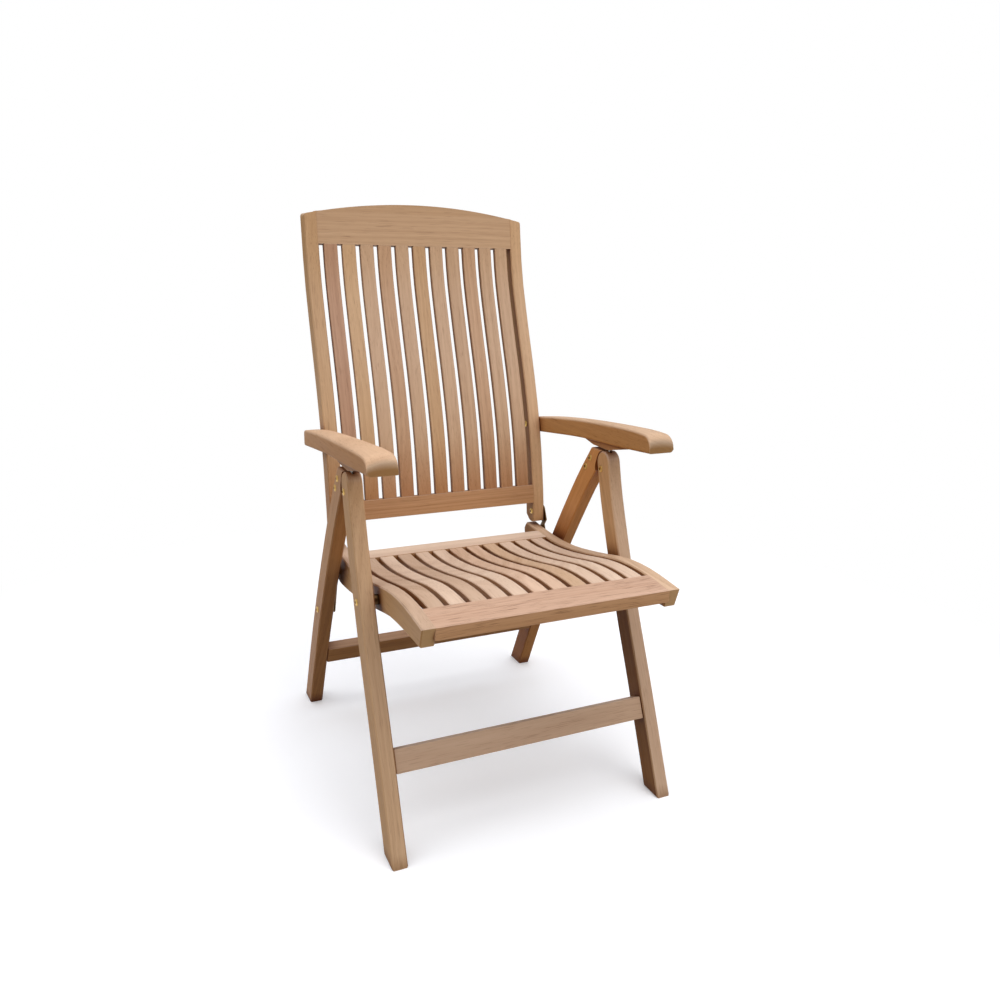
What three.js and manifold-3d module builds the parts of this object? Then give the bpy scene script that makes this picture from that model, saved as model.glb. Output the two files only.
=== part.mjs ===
// Folding teak armchair with a reclining back, in millimetres, +Z up, front towards -Y.
// Side-view points are [y, z]; every left piece mirrors its right twin across x = 0.
import * as THREE from 'three';
import { mergeVertices } from 'three/addons/utils/BufferGeometryUtils.js';
import Module from 'manifold-3d';

const wasm = await Module();
wasm.setup();

// Clearances and finish
const jointGap = 0.2; // glued joint line between two timbers
const runningGap = 0.3; // between a turning pin and its hole, or two sliding faces
const cutOverrun = 5; // how far a cutting shape runs past what it cuts
const shankOverlap = 0.3; // how far a bolt's shank runs into its head
const weldDistance = 1e-4; // points closer than this are one point
const easedEdge = 2.2; // sanded round on the long edges of every timber
const slatEase = 1.4;

// Widths across the chair, measured from the middle plane
const legInnerX = 248;
const legThick = 27.5;
const stileOuterX = 244.2;
const stileThick = 27;
const railOuterX = 237;
const railThick = 25.5;

// Pivots in side view
const legPivot = [32, 581.6];
const seatPivot = [-41.5, 402];
const linkLowPivot = [267.6, 266];
const linkHighPivot = [235, 362];
const backPivot = [268, 431];
const armPivot = [312, 624];

// Legs
const legDepth = 43.5;
const frontLegPoints = [[-214, 0], [-140.5, 171], [-63.7, 342], [2, 513], [26, 597]];
const rearLegPoints = [[392, 0], [313.7, 171], [225, 342], [121.6, 513], [60.4, 599]];
const rearTopDrop = 0.3; // the rear leg's flat top lies this far under the front leg's round top
const rearTopRadius = 9; // round on the upper rear corner of the rear leg
const coveGap = 1.2; // between the front leg's round top and the hollow around it
const foldAngle = THREE.MathUtils.degToRad(48); // how far the rear legs close towards the front legs
const slotMargin = THREE.MathUtils.degToRad(4);

// Stretchers
const stretcherTall = 41;
const stretcherThick = 23;
const frontStretcherHeight = 149;
const frontStretcherSetback = 4;
const rearStretcherHeight = 146;
const rearStretcherSetback = 0.5;

// Seat
const seatFrontY = -269;
const seatTopPoints = [
  [-269, 438.8], [-180, 445.4], [-100, 439.6], [0, 418],
  [90, 401.5], [165, 395.5], [245, 398], [281, 400.8],
];
const railBottomPoints = [
  [-258, 404.5], [-180, 401.5], [-104.5, 394.7], [-35.5, 378.8], [40, 362.5], [122, 347],
  [185, 338.5], [228, 335.5], [262, 345], [284, 366], [291, 386], [281, 400.8],
];
const seatFrontRailRearY = -203.5;
const seatRearRailFrontY = 186;
const seatRearRailRearY = 227;
const seatRailTall = 22;
const seatSlatTall = 14;
const seatSlatDrop = 1;
const seatSlatCount = 11;
const seatSlatGap = 9;

// Back
const backCurvePoints = [
  [255.5, 400], [259, 437], [266.6, 494], [289.6, 608],
  [324.9, 722], [367.5, 836], [406.4, 950], [427.8, 1064],
];
const backTopY = 431;
const backTopOverrun = 11.5; // how far the back's curve is drawn past the crown of the arch
const stileDeep = 37;
const stileHeelRadius = 24;
const backBottomRailLowZ = 452;
const backBottomRailHighZ = 492.5;
const backTopRailTall = 84.2; // from the slats' upper ends to the crown
const backRailDeep = 19;
const backSlatDeep = 12;
const backSlatSetback = 0.8;
const backSlatCount = 11;
const backSlatGap = 9.8;
const archCrownZ = 1088.5;
const archRadius = 1167;
const archCornerRadius = 7;

// Arms
const armNoseY = -152;
const armTailY = 341;
const armTopPoints = [[341, 633], [240, 651], [120, 667], [0, 679], [-95, 686.5]];
const armBottomPoints = [[341, 601], [240, 614.2], [120, 628.6], [0, 637.6], [-80, 644.8], [-152, 652.5]];
const armTailRadius = 6;
const armNoseRadius = 24;
const armNoseInnerX = 234;
const armNoseOuterX = 287;
const armTailInnerX = 245.4;
const armInnerStraightY = 130;
const armTailOuterX = 275.5;
const armEdgeRadius = 4.5;
const armEdgeShare = 0.45; // the rounds take at most this share of the arm's thickness
const armTailShare = 0.9; // share of a quarter round that closes the arm's tail

// Notched rack under each arm and the bar it rests on
const rackFrontY = -65;
const rackToeY = 15; // the rack's foot runs level from here
const rackHeelY = 72; // to here
const rackRearY = 102;
const rackDeep = 13.3; // depth under the arm at the toe
const rackTipThick = 1.2; // thickness left where the rack fades out at both ends
const rackHalf = 10; // half the rack's width across the chair
const channelHalf = 6; // half the width of the channel between the rack's cheeks
const toothDrop = 7; // from the arm's underside to the tips of the teeth in the channel
const notchCount = 5;
const notchPitch = 15.5;
const notchRadius = 4;
const barRadius = 3;
const barCentre = [30, 622.3];

// Metal
const plateThick = 4;
const plateRadius = 13;
const plateBoltUpper = [75.5, 595];
const plateBoltLower = [92, 573.5];
const plateBoltRadius = 10;
const boltRadius = 4;
const stileSway = 1; // extra room round the back's hinge bolt, where the back rolls on it as it reclines
const armSway = 0.75; // the same for the bolt through each arm
const socketRadius = 3; // six-sided key socket in each bolt head, across its corners
const socketDeep = 1.6;
const headRadius = 7;
const headTall = 2.4;
const armBoltCover = 9; // wood left between the end of the arm's bolt and the arm's outer face
const strapThick = 1.8;
const strapRadius = 12;
const strapTrim = 0.12; // taken off the strap's edges when its ends are rounded
const strapUpperX = stileOuterX + runningGap;
const crankStart = 25;
const crankEnd = 35;
const linkRadius = 10;
const linkThick = 2;
const linkInnerX = 240;
const linkCapTall = 1.8;
const spacerRadius = 10;
const washerRadius = 11;
const washerThick = 0.8;

const teak = { color: 0xc69c72, roughness: 0.62, metalness: 0 };
const paleTeak = { color: 0xd4b08c, roughness: 0.66, metalness: 0 };
const brass = { color: 0xc2a45a, roughness: 0.35, metalness: 0.9 };
const zinc = { color: 0x9c9a90, roughness: 0.45, metalness: 0.85 };

const fullTurn = 2 * Math.PI;
const chair = new THREE.Group();

function addMesh(name, geometry, finish) {
  const mesh = new THREE.Mesh(geometry, new THREE.MeshStandardMaterial(finish));
  mesh.name = name;
  chair.add(mesh);
  return mesh;
}

function toSolid(geometry) {
  const plain = geometry.clone();
  plain.deleteAttribute('normal');
  plain.deleteAttribute('uv');
  const merged = mergeVertices(plain, weldDistance);
  return new wasm.Manifold(new wasm.Mesh({
    numProp: 3,
    vertProperties: merged.attributes.position.array,
    triVerts: new Uint32Array(merged.index.array),
  }));
}

function toGeometry(solid) {
  const mesh = solid.getMesh();
  const geometry = new THREE.BufferGeometry();
  geometry.setAttribute('position', new THREE.BufferAttribute(Float32Array.from(mesh.vertProperties), 3));
  geometry.setIndex(new THREE.BufferAttribute(Uint32Array.from(mesh.triVerts), 1));
  geometry.computeVertexNormals();
  return geometry;
}

function cut(geometry, cutters) {
  return toGeometry(cutters.reduce((solid, cutter) => solid.subtract(toSolid(cutter)), toSolid(geometry)));
}

function join(geometries) {
  const [first, ...rest] = geometries.map(toSolid);
  return toGeometry(rest.reduce((solid, other) => solid.add(other), first));
}

function common(geometry, other) {
  return toGeometry(toSolid(geometry).intersect(toSolid(other)));
}

function mirrored(geometry) {
  const twin = geometry.clone();
  const position = twin.attributes.position;
  for (let i = 0; i < position.count; i += 1) position.setX(i, -position.getX(i));
  const order = twin.index ? twin.index.array : [...Array(position.count).keys()];
  const turned = [];
  for (let i = 0; i < order.length; i += 3) turned.push(order[i], order[i + 2], order[i + 1]);
  twin.setIndex(turned);
  twin.computeVertexNormals();
  return twin;
}

// Adds the right piece and its mirror image on the left
function addPair(name, geometry, finish) {
  addMesh(`${name}_right`, geometry, finish);
  addMesh(`${name}_left`, mirrored(geometry), finish);
}

const vec = ([y, z]) => new THREE.Vector2(y, z);

// Extrudes a side outline of [y, z] points across the chair from fromX to toX
function sidePrism(outline, fromX, toX, ease = 0, easeSegments = 1) {
  const shape = outline instanceof THREE.Shape ? outline : new THREE.Shape(outline);
  const geometry = new THREE.ExtrudeGeometry(shape, {
    depth: toX - fromX - 2 * ease,
    bevelEnabled: ease > 0,
    bevelThickness: ease,
    bevelSize: ease,
    bevelOffset: -ease,
    bevelSegments: easeSegments,
    curveSegments: 10,
  });
  geometry.translate(0, 0, fromX + ease);
  // shape axes (y, z) and extrusion x: a cyclic turn keeps the faces pointing out
  geometry.applyMatrix4(new THREE.Matrix4().set(0, 0, 1, 0, 1, 0, 0, 0, 0, 1, 0, 0, 0, 0, 0, 1));
  return geometry;
}

// Round bar across the chair, centred on a side-view point
function crossRod([y, z], radius, fromX, toX, segments = 16) {
  const rod = new THREE.CylinderGeometry(radius, radius, toX - fromX, segments);
  rod.rotateZ(-Math.PI / 2);
  rod.translate((fromX + toX) / 2, y, z);
  return rod;
}

// Low domed bolt head whose flat side sits at x and which rises along direction 1 or -1
function domeHead([y, z], radius, tall, x, direction) {
  const profile = [];
  const steps = 4;
  for (let i = 0; i <= steps; i += 1) {
    const angle = (Math.PI / 2) * (i / steps);
    profile.push(new THREE.Vector2(radius * Math.cos(angle), tall * Math.sin(angle)));
  }
  profile[steps].x = 0;
  const head = new THREE.LatheGeometry([new THREE.Vector2(0, 0), ...profile], 16);
  head.rotateZ(-Math.PI / 2);
  if (direction < 0) head.rotateY(Math.PI);
  head.translate(x, y, z);
  return head;
}

// Taut outline around circles given as [[y, z], radius]
function hullOutline(circles, segments = 20) {
  const points = circles.flatMap(([centre, radius]) => arcPoints(centre, radius, 0, fullTurn, segments));
  points.sort((a, b) => a.x - b.x || a.y - b.y);
  const turn = (a, b, c) => (b.x - a.x) * (c.y - a.y) - (b.y - a.y) * (c.x - a.x);
  const half = (list) => {
    const chain = [];
    for (const point of list) {
      while (chain.length > 1 && turn(...chain.slice(-2), point) <= weldDistance) chain.pop();
      chain.push(point);
    }
    chain.pop();
    return chain;
  };
  return [...half(points), ...half([...points].reverse())];
}

function arcPoints([y, z], radius, fromAngle, toAngle, steps) {
  const points = [];
  for (let i = 0; i <= steps; i += 1) {
    const angle = fromAngle + ((toAngle - fromAngle) * i) / steps;
    points.push(new THREE.Vector2(y + radius * Math.cos(angle), z + radius * Math.sin(angle)));
  }
  return points;
}

// Smooth curve through side-view points, resampled at even steps of y or z
function smooth(points) {
  return new THREE.SplineCurve(points.map(vec));
}

function heightAt(curve, y) {
  let low = 0;
  let high = 1;
  const rising = curve.getPoint(1).x > curve.getPoint(0).x;
  for (let i = 0; i < 40; i += 1) {
    const middle = (low + high) / 2;
    if ((curve.getPoint(middle).x < y) === rising) low = middle;
    else high = middle;
  }
  return curve.getPoint(low).y;
}

function shareAtHeight(curve, z) {
  let low = 0;
  let high = 1;
  for (let i = 0; i < 40; i += 1) {
    const middle = (low + high) / 2;
    if (curve.getPoint(middle).y < z) low = middle;
    else high = middle;
  }
  return low;
}

// Band of a given depth behind a curve, between two shares of it: front edge offset first, then back edge
function bandOutline(curve, fromShare, toShare, frontOffset, backOffset, steps) {
  const front = [];
  const back = [];
  for (let i = 0; i <= steps; i += 1) {
    const share = fromShare + ((toShare - fromShare) * i) / steps;
    const point = curve.getPoint(share);
    const tangent = curve.getTangent(share);
    const normal = new THREE.Vector2(tangent.y, -tangent.x);
    front.push(point.clone().addScaledVector(normal, frontOffset));
    back.push(point.clone().addScaledVector(normal, backOffset));
  }
  return [...back, ...front.reverse()];
}

// Legs: bowed timbers drawn as a smooth centre line with an even depth
function legEdges(curve, steps = 14) {
  const front = [];
  const rear = [];
  for (let i = 0; i <= steps; i += 1) {
    const point = curve.getPoint(i / steps);
    const tangent = curve.getTangent(i / steps);
    const normal = new THREE.Vector2(tangent.y, -tangent.x).multiplyScalar(legDepth / 2);
    rear.push(point.clone().add(normal));
    front.push(point.clone().sub(normal));
  }
  // the foot is sawn level with the ground
  for (const edge of [front, rear]) {
    const slope = edge[1].clone().sub(edge[0]);
    edge[0].addScaledVector(slope, -edge[0].y / slope.y);
  }
  return { front, rear };
}

const frontLegCurve = smooth(frontLegPoints);
const rearLegCurve = smooth(rearLegPoints);
const backCurve = smooth([...backCurvePoints, [backTopY, archCrownZ + backTopOverrun]]);
const backTopRailLowZ = archCrownZ - backTopRailTall;
const seatCurve = smooth(seatTopPoints);
const stileInnerX = stileOuterX - stileThick;
const railInnerX = railOuterX - railThick;
const legOuterX = legInnerX + legThick;

function plateOutline(grow) {
  return hullOutline([
    [legPivot, plateRadius + grow],
    [plateBoltLower, plateBoltRadius + grow],
    [plateBoltUpper, plateBoltRadius + grow],
    [barCentre, barRadius + grow],
  ]);
}

function plateCutter(outline) {
  const middle = legInnerX + legThick / 2;
  const half = plateThick / 2 + runningGap;
  return sidePrism(outline, middle - half, middle + half);
}

// Slot in the front leg's top, open above and behind so that the plate can swing through the fold
function frontSlotOutline() {
  const radius = plateRadius + 2 * runningGap;
  const far = 2 * legDepth;
  const lowSide = vec(plateBoltLower).sub(vec(legPivot)).angle() - fullTurn - foldAngle - slotMargin;
  const barSide = vec(barCentre).sub(vec(legPivot)).angle() + Math.PI / 2;
  const sweep = arcPoints(legPivot, radius, barSide, lowSide + 1.5 * Math.PI, 10);
  const last = sweep[sweep.length - 1];
  const first = sweep[0];
  return [
    new THREE.Vector2(legPivot[0] + far, legPivot[1] + far),
    first.clone().add(new THREE.Vector2(Math.sin(barSide), -Math.cos(barSide)).multiplyScalar(far)),
    ...sweep,
    last.clone().add(new THREE.Vector2(Math.cos(lowSide), Math.sin(lowSide)).multiplyScalar(far)),
  ];
}

function pinHole(pivot, fromX, toX, room = 0) {
  return crossRod(pivot, boltRadius + runningGap + room, fromX - cutOverrun, toX + cutOverrun);
}

function buildFrontLegs() {
  const { front, rear } = legEdges(frontLegCurve);
  const top = frontLegCurve.getPoint(1);
  const tangent = frontLegCurve.getTangent(1);
  const start = Math.atan2(-tangent.x, tangent.y);
  const round = arcPoints([top.x, top.y], legDepth / 2, start, start + Math.PI, 10);
  const outline = [...rear.slice(0, -1), ...round, ...front.reverse().slice(1)];
  const leg = sidePrism(outline, legInnerX, legOuterX, easedEdge);
  const holes = [seatPivot, legPivot].map((pivot) => pinHole(pivot, legInnerX, legOuterX));
  addPair('front_leg', cut(leg, [plateCutter(frontSlotOutline()), ...holes]), teak);
}

// The rear leg ends in a flat top with a rounded rear corner, hollowed to pass the front leg's round top
function buildRearLegs() {
  const { front, rear } = legEdges(rearLegCurve);
  const frontTop = frontLegCurve.getPoint(1);
  const topZ = frontTop.y + legDepth / 2 - rearTopDrop;
  const tangent = rearLegCurve.getTangent(1);
  const inward = new THREE.Vector2(-tangent.y, tangent.x);
  const rearEnd = rear[rear.length - 1];
  const rise = (topZ - rearTopRadius - rearEnd.y - rearTopRadius * inward.y) / tangent.y;
  const centre = rearEnd.clone().addScaledVector(tangent, rise).addScaledVector(inward, rearTopRadius);
  const fromAngle = Math.atan2(-inward.y, -inward.x);
  const corner = arcPoints([centre.x, centre.y], rearTopRadius, fromAngle, Math.PI / 2, 6);
  const outline = [...rear, ...corner, new THREE.Vector2(frontTop.x, topZ), ...front.reverse()];
  const leg = sidePrism(outline, legInnerX, legOuterX, easedEdge);
  const coveRadius = legDepth / 2 + coveGap;
  const hollow = hullOutline([[frontTop.toArray(), coveRadius], [legPivot, coveRadius]]);
  const cove = sidePrism(hollow, legInnerX - cutOverrun, legOuterX + cutOverrun);
  const pivots = [plateBoltUpper, plateBoltLower, linkLowPivot];
  const holes = pivots.map((pivot) => pinHole(pivot, legInnerX, legOuterX));
  addPair('rear_leg', cut(leg, [cove, plateCutter(plateOutline(2 * runningGap)), ...holes]), teak);
}

// Stretcher: a rounded bar between a pair of legs, square to the leg's front face
function buildStretcher(name, curve, height, setback) {
  const share = shareAtHeight(curve, height);
  const centre = curve.getPoint(share);
  const tangent = curve.getTangent(share);
  const backwards = new THREE.Vector2(tangent.y, -tangent.x);
  const face = centre.clone().addScaledVector(backwards, -legDepth / 2 + setback);
  const corner = (up, back) => face.clone().addScaledVector(tangent, up).addScaledVector(backwards, back);
  const outline = [
    corner(-stretcherTall / 2, 0),
    corner(-stretcherTall / 2, stretcherThick),
    corner(stretcherTall / 2, stretcherThick),
    corner(stretcherTall / 2, 0),
  ];
  addMesh(name, sidePrism(outline, -legInnerX + jointGap, legInnerX - jointGap, easedEdge, 2), teak);
}

// Seat frame
function buildSeatRails() {
  const top = [];
  const steps = 18;
  for (let i = 0; i <= steps; i += 1) {
    const y = seatFrontY + ((seatTopPoints[seatTopPoints.length - 1][0] - seatFrontY) * i) / steps;
    top.push(new THREE.Vector2(y, heightAt(seatCurve, y)));
  }
  const bottom = smooth(railBottomPoints).getPoints(22);
  const rail = sidePrism([...bottom, ...top.reverse()], railInnerX, railOuterX, easedEdge);
  const holes = [seatPivot, linkHighPivot].map((pivot) => pinHole(pivot, railInnerX, railOuterX));
  addPair('seat_side_rail', cut(rail, holes), teak);
}

// Even row of slats between two rails whose inner faces lie at plus and minus reach
function buildSlats(name, outline, reach, gap, count, finish) {
  const pitch = (2 * reach - gap) / count;
  const half = (pitch - gap) / 2;
  for (let i = 0; i < count; i += 1) {
    const middle = (i - (count - 1) / 2) * pitch;
    const slat = sidePrism(outline, middle - half, middle + half, slatEase);
    addMesh(`${name}_${String(i + 1).padStart(2, '0')}`, slat, finish);
  }
}

// Strip of even thickness that lies a drop under the seat's curve
function seatBand(fromY, toY, drop, tall, steps) {
  const top = [];
  const bottom = [];
  for (let i = 0; i <= steps; i += 1) {
    const y = fromY + ((toY - fromY) * i) / steps;
    const z = heightAt(seatCurve, y) - drop;
    top.push(new THREE.Vector2(y, z));
    bottom.push(new THREE.Vector2(y, z - tall));
  }
  return [...bottom, ...top.reverse()];
}

function buildSeatInfill() {
  const half = railInnerX - jointGap;
  const frontRail = seatBand(seatFrontY, seatFrontRailRearY, 0, seatRailTall, 5);
  const rearRail = seatBand(seatRearRailFrontY, seatRearRailRearY, 0, seatRailTall, 4);
  addMesh('seat_front_rail', sidePrism(frontRail, -half, half, easedEdge, 2), teak);
  addMesh('seat_rear_rail', sidePrism(rearRail, -half, half, easedEdge, 2), teak);
  const fromY = seatFrontRailRearY + jointGap;
  const toY = seatRearRailFrontY - jointGap;
  const outline = seatBand(fromY, toY, seatSlatDrop, seatSlatTall, 14);
  buildSlats('seat_slat', outline, railInnerX, seatSlatGap, seatSlatCount, paleTeak);
}

// Front view outline of the back's arched top, as a block reaching below the back
function archedBlock() {
  const edgeZ = archCrownZ - (stileOuterX * stileOuterX) / (2 * archRadius);
  const centreZ = archCrownZ - archRadius;
  const cornerSpan = archCornerRadius;
  const shape = new THREE.Shape();
  const reach = Math.asin((stileOuterX - cornerSpan) / archRadius);
  shape.moveTo(-stileOuterX, 0);
  shape.lineTo(stileOuterX, 0);
  shape.lineTo(stileOuterX, edgeZ - cornerSpan);
  const cornerZ = centreZ + archRadius * Math.cos(reach);
  shape.quadraticCurveTo(stileOuterX, edgeZ, stileOuterX - cornerSpan, cornerZ);
  shape.absarc(0, centreZ, archRadius, Math.PI / 2 - reach, Math.PI / 2 + reach, false);
  shape.quadraticCurveTo(-stileOuterX, edgeZ, -stileOuterX, edgeZ - cornerSpan);
  const depth = backTopY + 2 * stileDeep;
  const block = new THREE.ExtrudeGeometry(shape, { depth, bevelEnabled: false, curveSegments: 16 });
  block.rotateX(Math.PI / 2);
  block.translate(0, depth, 0);
  return block;
}

function buildBack() {
  const arch = archedBlock();
  const band = (lowZ, highZ, setback, deep, steps) => bandOutline(
    backCurve,
    shareAtHeight(backCurve, lowZ),
    shareAtHeight(backCurve, highZ),
    setback,
    setback + deep,
    steps,
  );
  const overArchZ = archCrownZ + backTopOverrun;
  const stileOutline = band(backCurvePoints[0][1], overArchZ, 0, stileDeep, 18);
  const stile = sidePrism(stileOutline, stileInnerX, stileOuterX, easedEdge);
  const heel = buildHeelCutter();
  const holes = [
    pinHole(backPivot, stileInnerX, stileOuterX, stileSway),
    pinHole(armPivot, stileInnerX, stileOuterX),
  ];
  addPair('back_stile', cut(common(stile, arch), [heel, ...holes]), teak);

  const half = stileInnerX - jointGap;
  const topOutline = band(backTopRailLowZ, overArchZ, backSlatSetback, backRailDeep, 5);
  const topRail = sidePrism(topOutline, -half, half, easedEdge, 2);
  addMesh('back_top_rail', common(topRail, arch), teak);
  const bottomOutline = band(backBottomRailLowZ, backBottomRailHighZ, 0, backRailDeep, 3);
  addMesh('back_bottom_rail', sidePrism(bottomOutline, -half, half, easedEdge, 2), teak);

  const lowZ = backBottomRailHighZ + jointGap;
  const highZ = backTopRailLowZ - jointGap;
  const outline = band(lowZ, highZ, backSlatSetback, backSlatDeep, 14);
  buildSlats('back_slat', outline, stileInnerX, backSlatGap, backSlatCount, teak);
}

// Removes the stile's square foot outside a circle about the back pivot
function buildHeelCutter() {
  const [y, z] = backPivot;
  const far = 4 * stileHeelRadius;
  const shape = new THREE.Shape([
    new THREE.Vector2(y - far, z - far),
    new THREE.Vector2(y + far, z - far),
    new THREE.Vector2(y + far, z - stileHeelRadius / 2),
    new THREE.Vector2(y + stileHeelRadius, z - stileHeelRadius / 2),
    ...arcPoints(backPivot, stileHeelRadius, -Math.PI / 6, -Math.PI, 10).slice(1),
    new THREE.Vector2(y - far, z),
  ]);
  return sidePrism(shape, stileInnerX - cutOverrun, stileOuterX + cutOverrun);
}

// Arms: a lofted board that narrows to the rear, with rounded edges and a rounded nose
const armTop = smooth(armTopPoints);
const armBottom = smooth(armBottomPoints);

// Share of the arm's narrowing reached at y, levelling off where the arm runs straight
function armTaper(y, straightY) {
  const share = Math.min(1, Math.max(0, (y - armNoseY) / (straightY - armNoseY)));
  return share * (2 - share);
}

function armOuterAt(y) {
  return armNoseOuterX + (armTailOuterX - armNoseOuterX) * armTaper(y, armTailY);
}

const armBoltEndX = armOuterAt(armPivot[0]) - armBoltCover;

function armSection(y, topZ, bottomZ) {
  const innerX = armNoseInnerX + (armTailInnerX - armNoseInnerX) * armTaper(y, armInnerStraightY);
  const outerX = armOuterAt(y);
  const radius = Math.min(armEdgeRadius, (topZ - bottomZ) * armEdgeShare);
  const points = [];
  const corners = [
    [outerX - radius, bottomZ + radius, -1],
    [outerX - radius, topZ - radius, 0],
    [innerX + radius, topZ - radius, 1],
    [innerX + radius, bottomZ + radius, 2],
  ];
  for (const [x, z, quarter] of corners) {
    for (let i = 0; i <= 3; i += 1) {
      const angle = (Math.PI / 2) * (quarter + i / 3);
      points.push([x + radius * Math.cos(angle), y, z + radius * Math.sin(angle)]);
    }
  }
  return points;
}

function loft(sections) {
  const positions = sections.flat(2);
  const count = sections[0].length;
  const index = [];
  for (let s = 0; s < sections.length - 1; s += 1) {
    for (let i = 0; i < count; i += 1) {
      const a = s * count + i;
      const b = s * count + ((i + 1) % count);
      index.push(a, a + count, b, b, a + count, b + count);
    }
  }
  const last = (sections.length - 1) * count;
  for (let i = 1; i < count - 1; i += 1) {
    index.push(0, i, i + 1);
    index.push(last, last + i + 1, last + i);
  }
  const geometry = new THREE.BufferGeometry();
  geometry.setAttribute('position', new THREE.Float32BufferAttribute(positions, 3));
  geometry.setIndex(index);
  return geometry;
}

function armSections() {
  const sections = [];
  const noseTopY = armTopPoints[armTopPoints.length - 1][0];
  const noseSteps = 6;
  for (let i = 0; i <= noseSteps; i += 1) {
    const angle = (Math.PI / 2) * (i / noseSteps);
    const y = armNoseY + armNoseRadius * (1 - Math.cos(angle));
    const topZ = heightAt(armTop, Math.max(y, noseTopY)) - armNoseRadius * (1 - Math.sin(angle));
    sections.push(armSection(y, topZ, heightAt(armBottom, y)));
  }
  const steps = 14;
  const fromY = armNoseY + armNoseRadius;
  const toY = armTailY - armTailRadius;
  for (let i = 1; i <= steps; i += 1) {
    const y = fromY + ((toY - fromY) * i) / steps;
    sections.push(armSection(y, heightAt(armTop, y), heightAt(armBottom, y)));
  }
  const tailSteps = 4;
  for (let i = 1; i <= tailSteps; i += 1) {
    const angle = (Math.PI / 2) * armTailShare * (i / tailSteps);
    const y = toY + armTailRadius * Math.sin(angle);
    const shrink = armTailRadius * (1 - Math.cos(angle));
    sections.push(armSection(y, heightAt(armTop, y) - shrink, heightAt(armBottom, y) + shrink));
  }
  return sections;
}

// The bolt enters each arm from its inner face and ends inside the wood
function buildArms() {
  const arm = loft(armSections());
  const holeRadius = boltRadius + runningGap + armSway;
  const hole = crossRod(armPivot, holeRadius, armNoseInnerX, armBoltEndX + runningGap);
  addPair('arm', cut(arm, [hole]), teak);
}

// Points along the arm's underside, lowered by a drop
function underArm(fromY, toY, drop) {
  const steps = 12;
  return Array.from({ length: steps + 1 }, (_, i) => {
    const y = fromY + ((toY - fromY) * i) / steps;
    return new THREE.Vector2(y, heightAt(armBottom, y) - drop);
  });
}

// Notch rack: a wedge-ended strip with a channel between two cheeks and round notches in its ceiling
function buildRacks() {
  const middle = legInnerX + legThick / 2;
  const footZ = heightAt(armBottom, rackToeY) - rackDeep;
  const tip = (y) => new THREE.Vector2(y, heightAt(armBottom, y) - jointGap - rackTipThick);
  const level = [rackToeY, rackHeelY].map((y) => new THREE.Vector2(y, footZ));
  const foot = [tip(rackFrontY), ...level, tip(rackRearY)];
  const outline = [...foot, ...underArm(rackRearY, rackFrontY, jointGap)];
  const rack = sidePrism(outline, middle - rackHalf, middle + rackHalf);
  const fromX = middle - channelHalf;
  const toX = middle + channelHalf;
  const mouth = [rackFrontY, rackRearY + cutOverrun].map((y) => new THREE.Vector2(y, footZ - cutOverrun));
  const ceiling = underArm(rackRearY + cutOverrun, rackFrontY, toothDrop);
  const channel = sidePrism([...mouth, ...ceiling], fromX, toX);
  const notches = Array.from({ length: notchCount }, (_, i) => {
    const y = barCentre[0] + (i - (notchCount - 1) / 2) * notchPitch;
    return crossRod([y, heightAt(armBottom, y) - toothDrop], notchRadius, fromX, toX, 14);
  });
  addPair('arm_notch_rack', cut(rack, [channel, ...notches]), teak);
}

// Metal parts
function keySocket(pivot, x, direction) {
  const ends = [headTall - socketDeep, headTall + socketDeep].map((tall) => x + direction * tall);
  ends.sort((a, b) => a - b);
  return crossRod(pivot, socketRadius, ends[0], ends[1], 6);
}

function bolt(pivot, fromX, toX, extras = []) {
  const body = join([
    crossRod(pivot, boltRadius, fromX - shankOverlap, toX + shankOverlap),
    domeHead(pivot, headRadius, headTall, toX, 1),
    domeHead(pivot, headRadius, headTall, fromX, -1),
    ...extras,
  ]);
  return cut(body, [keySocket(pivot, toX, 1), keySocket(pivot, fromX, -1)]);
}

function buildLegTopPlates() {
  const middle = legInnerX + legThick / 2;
  const plate = cut(
    sidePrism(plateOutline(0), middle - plateThick / 2, middle + plateThick / 2),
    [pinHole(legPivot, legInnerX, legOuterX)],
  );
  const bolts = [plateBoltUpper, plateBoltLower].map((pivot) => bolt(pivot, legInnerX, legOuterX));
  const barHalf = channelHalf - 2 * runningGap;
  const bar = crossRod(barCentre, barRadius, middle - barHalf, middle + barHalf);
  addPair('leg_top_plate', join([plate, ...bolts, bar]), brass);
}

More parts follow.
